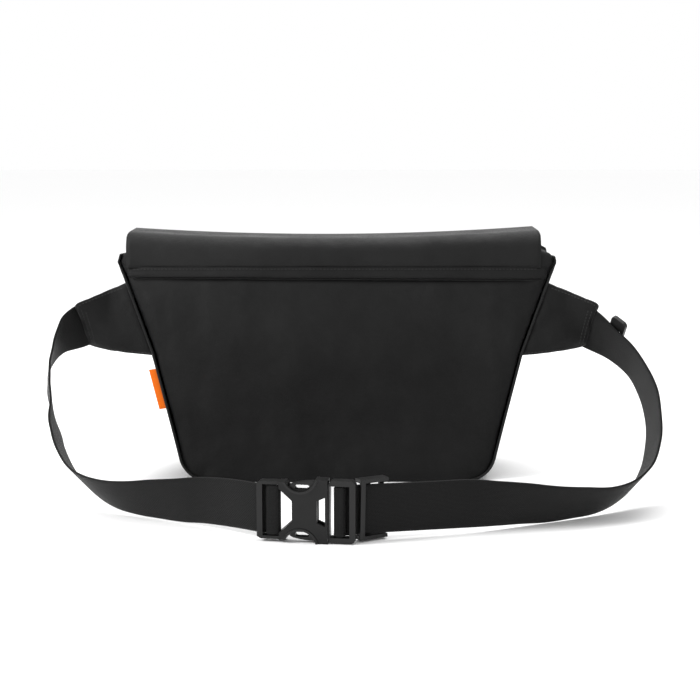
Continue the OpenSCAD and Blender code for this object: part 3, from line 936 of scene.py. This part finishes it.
def make_wing(side, name):
    low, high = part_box(name)
    near, far = low.y + 0.9 * MM, high.y - 0.9 * MM
    outline = [Vector((side * x * MM, 0, z * MM)) for x, z in WING]
    count = len(outline)
    points = [p + Vector((0, y, 0)) for y in (near, far) for p in outline]
    faces = [tuple(range(count)), tuple(range(2 * count - 1, count - 1, -1))]
    for k in range(count):
        faces.append((k, (k + 1) % count, count + (k + 1) % count, count + k))
    wing = new_mesh(name + "_pad", points, faces, SHELL)
    outward(wing)
    swell(wing, voxel=3 * MM, cap=1.8 * MM)
    for vertex in wing.data.vertices:
        vertex.co.y += wing_shift(vertex.co.x, vertex.co.z)
    place_piece(wing, "bag", "shell_cloth", name, name.replace("wing", "wing_foam"))
    centre = sum(outline, Vector()) / count
    edge = outline[WING_ROOT_POINTS - 1:] + outline[:1]
    rows = [[centre + (p - centre) * EDGE_ROW for p in edge]]
    rows += [[p - Vector((side * inset, 0, 0)) for p in outline[WING_END]] for inset in END_ROWS]
    surface = BVHTree.FromPolygons([v.co for v in wing.data.vertices],
                                   [tuple(f.vertices) for f in wing.data.polygons])
    for k, row in enumerate(rows):
        line = [on_surface(surface, p) for p in walk(row, STITCH_PITCH)]
        make_stitches(f"{name}_stitches_{k}", line, 0.4 * MM, "bag")


# ---- Flap ----

FLAP_COLUMNS = 90
FLAP_STEP = 3 * MM
FLAP_ROLL = 14 * MM
FLAP_ROLL_STEPS = 10
# How far the cloth's middle lies in front of the panel's plane
FLAP_OUT = 4.5 * MM
# Half width at the hem, the round corners there and at the top
HEM_HALF = 150 * MM
HEM_CORNER_R = 26 * MM
TOP_CORNER_R = 6 * MM
FLAP_FULL_Z = 184 * MM
# Top line: sunk in the middle, curved up to both ends, a little higher to the right
TOP_SINK, TOP_CURVE, TOP_TILT = 6.6 * MM, 6.2 * MM, 0.7 * MM
# The flap sits a little to the left of the bag's middle
FLAP_LEFT = 3 * MM
FLAP_NARROW = 0.992
# Columns between the flap's edge and its stitches
HEM_COLUMNS = 2


def flap_profile():
    """Flap's line from the back seam over the top to the hem, as (y, z)."""
    root_z = welt_high.z + 0.4 * MM
    roll_z = flap_high.z - 1.4 * MM - FLAP_ROLL
    back = BACK_Y - 2.5 * MM
    lean = math.atan(LEAN)
    front = front_y(roll_z) + FLAP_OUT - FLAP_ROLL / math.cos(lean)
    line = [(BACK_Y - 1.3 * MM, root_z), (back, root_z + 7 * MM)]
    line += arc(back + FLAP_ROLL, roll_z, FLAP_ROLL, 180, 90, FLAP_ROLL_STEPS)
    line += arc(front, roll_z, FLAP_ROLL, 90, math.degrees(lean), FLAP_ROLL_STEPS)
    line.append((front_y(FLAP_HEM_Z) + FLAP_OUT, FLAP_HEM_Z))
    return [(p.y, p.z) for p in walk([(0, y, z) for y, z in line], FLAP_STEP)]


def flap_half(z):
    """Half width of the flap at a height, round at the hem and at the top."""
    corner_z = FLAP_HEM_Z + HEM_CORNER_R
    if z < corner_z:
        drop = min(1, (corner_z - z) / HEM_CORNER_R)
        return HEM_HALF - HEM_CORNER_R * (1 - math.sqrt(max(0, 1 - drop * drop)))
    if z < FLAP_FULL_Z:
        share = (z - corner_z) / (FLAP_FULL_Z - corner_z)
        return HEM_HALF + (FLAP_HALF - HEM_HALF) * share
    over = clamp((z - (flap_high.z + 0.6 * MM - TOP_CORNER_R)) / TOP_CORNER_R)
    return FLAP_HALF - TOP_CORNER_R * (1 - math.sqrt(1 - over ** 2))


def front_fold(x, z):
    """Loose drape of the flap's front, kept clear of the panel behind it."""
    low = clamp((200 * MM - z) / (90 * MM))
    return low * MM * (2.2 + 2.4 * soft_noise(x * 11, 4, z * 5))


def flap_point(y, z, share):
    x = flap_half(z) * (2 * share - 1)
    high = clamp((z - 188 * MM) / (28 * MM))
    part = x / FLAP_HALF
    lift = (TOP_CURVE * part ** 2 + TOP_TILT * part - TOP_SINK) * high
    if y > 0:
        # Lies over the filled-out front panel, below the roll at the top
        fall = clamp((205 * MM - z) / (25 * MM))
        shift = (front_out(x, min(z, MOUTH_Z)) + front_fold(x, z)) * fall
    else:
        inward = -1 if y < -30 * MM else 1
        ripple = 1.1 * MM * soft_noise(x * 12, y * 20, z * 14)
        shift = inward * ripple * min(1, high * 3 + 0.1)
    return Vector((x * FLAP_NARROW - FLAP_LEFT, y + shift, z + lift))


def make_flap():
    rows = [[flap_point(y, z, share) for share in shares(FLAP_COLUMNS)]
            for y, z in flap_profile()]
    flap = grid("flap_sheet", rows, FLAP)
    thicken(flap, 2.6 * MM, 0)
    place_piece(flap, "flap", "flap_cloth", "flap_cover", "flap_lining")
    # Stitches down one side of the front, along the hem and up the other side
    front = [row for row in rows if row[0].y > 0 and row[0].z < 190 * MM]
    inside = [row[HEM_COLUMNS] for row in front]
    inside += front[-1][HEM_COLUMNS + 1:-HEM_COLUMNS - 1]
    inside += [row[-HEM_COLUMNS - 1] for row in reversed(front)]
    line = [p + AWAY * 1.5 * MM for p in inside]
    make_stitches("flap_stitches", line, 0.4 * MM, "flap")


# ---- Belt ----

# Half of the webbing's section, from edge to edge, as shares of its half width
WEB_SECTION = (-1, -0.96, -0.8, -0.4, 0, 0.4, 0.8, 0.96, 1)
# Share of the thickness left at the rolled edges
WEB_EDGE = 0.35
# The belt's first stretch, inside the wing: inwards and up from its exit
TUCK_IN, TUCK_UP = 9 * MM, 3 * MM


def smooth_between(before, start, end, after, share):
    """Point on a smooth curve between start and end."""
    return [0.5 * (2 * q + (r - p) * share + (2 * p - 5 * q + 4 * r - s) * share ** 2
                   + (3 * q - p - 3 * r + s) * share ** 3)
            for p, q, r, s in zip(before, start, end, after)]


def route_points(route):
    """Smooth line through a route's points, and the webbing's twist along it."""
    made, last = [], len(route) - 1
    for i in range(last):
        before, after = route[max(i - 1, 0)], route[min(i + 2, last)]
        made += [smooth_between(before, route[i], route[i + 1], after, k / ROUTE_STEPS)
                 for k in range(ROUTE_STEPS)]
    made.append(route[last])
    return [Vector(p[:3]) * MM for p in made], [math.radians(p[3]) for p in made]


def web_axes(ahead, twist):
    """Directions across the webbing and off its face."""
    up = (UP - ahead.z * ahead).normalized()
    side = math.cos(twist) * up + math.sin(twist) * ahead.cross(up)
    return side, ahead.cross(side)


def web_mesh(name, stations):
    """Webbing through (point, across, off face) stations, with rolled edges."""
    half, thick = WEB_W / 2, WEB_T / 2
    section = [(s, 1 if abs(s) < 1 else WEB_EDGE) for s in WEB_SECTION]
    section += [(s, -1 if abs(s) < 1 else -WEB_EDGE) for s in reversed(WEB_SECTION)]
    rows, runs = [], []
    run, previous = 0.0, stations[0][0]
    for point, side, off in stations:
        rows.append([point + side * half * s + off * thick * face for s, face in section])
        run += (point - previous).length
        runs.append(run)
        previous = point
    web = grid(name, rows, WEBBING, True)
    # Texture coordinates in metres along and across the webbing
    uv = web.data.uv_layers.new(name="length")
    for loop in web.data.loops:
        row, column = divmod(loop.vertex_index, len(section))
        uv.data[loop.index].uv = (runs[row], section[column][0] * half)
    outward(web)
    return web


def make_belt(name, route):
    """Webbing along a route, its start tucked between the wing's layers."""
    line, twists = route_points(route)
    stations = [(point, *web_axes(direction(line, i), twist))
                for i, (point, twist) in enumerate(zip(line, twists))]
    start, side, off = stations[0]
    inward = Vector((-math.copysign(TUCK_IN, start.x), 0, TUCK_UP))
    belt = web_mesh(name, [(start + inward, (side + UP).normalized(), off)] + stations)
    return belt, line


def make_belts():
    left, _ = make_belt("belt_left_web", LEFT_ROUTE)
    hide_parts("belt_left")
    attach(left, "bag")
    right, line = make_belt("belt_right_web", RIGHT_ROUTE)
    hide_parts("belt_right_rear", "belt_right_front")
    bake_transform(right)


# ---- Buckle ----

HARDWARE = ("buckle_female", "buckle_male", "prong_upper", "prong_lower", "tri_glide",
            "strap_keeper")
# Webbing round a bar: its middle's distance from the bar's, and how much of a turn
FOLD_DEPTH = 2.7 * MM
FOLD_TURN = 0.93
FOLD_POINTS = 40


def make_hardware():
    """CAD plastic kept as it is, with softened edges and moulded plastic."""
    for node in HARDWARE:
        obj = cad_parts[node]
        soften(obj, 0.6 * MM, 3)
        obj.data.materials.clear()
        obj.data.materials.append(PLASTIC)


def squared(value):
    """Turns a circle's sine or cosine into that of a squared-off oval."""
    return math.copysign(abs(value) ** 0.6, value)


def fold_line(bar, loose, tail):
    """Webbing's line round a bar, as (along, through) the buckle."""
    middle = (bar[0] + bar[1]) / 2
    reach = (bar[1] - bar[0]) / 2 + WEB_T / 2 + loose
    way = math.copysign(1, tail)
    line = [(middle + tail, BAR_MIDDLE + FOLD_DEPTH - 0.1 * MM)]
    for k in range(FOLD_POINTS + 1):
        turn = math.pi / 2 - way * 2 * math.pi * FOLD_TURN * k / FOLD_POINTS
        line.append((middle + reach * squared(math.cos(turn)),
                     BAR_MIDDLE + FOLD_DEPTH * squared(math.sin(turn))))
    return line


def make_folds():
    """Belt ends folded round the buckle's two webbing bars."""
    along = Vector((math.cos(BUCKLE_YAW), -math.sin(BUCKLE_YAW), 0))
    through = Vector((math.sin(BUCKLE_YAW), math.cos(BUCKLE_YAW), 0))
    folds = (("webbing_fold_left", "bag", FEMALE_BAR, 1.3 * MM, -13 * MM),
             ("webbing_fold_right", "buckle_male", MALE_BAR, 0.6 * MM, 9 * MM))
    for node, body, bar, loose, tail in folds:
        line = [BUCKLE_POS + along * a + through * b for a, b in fold_line(bar, loose, tail)]
        stations = [(p, UP, direction(line, i).cross(UP)) for i, p in enumerate(line)]
        place_piece(web_mesh(node + "_web", stations), body, "webbing", node)


make_camera()
make_studio()
make_floor()
make_belts()
make_back_pad()
make_piping()
make_gusset()
make_front()
make_lining()
make_binding()
make_welt()
make_tag()
make_wing(-1, "wing_left")
make_wing(1, "wing_right")
make_flap()
make_patches()
make_hardware()
make_folds()
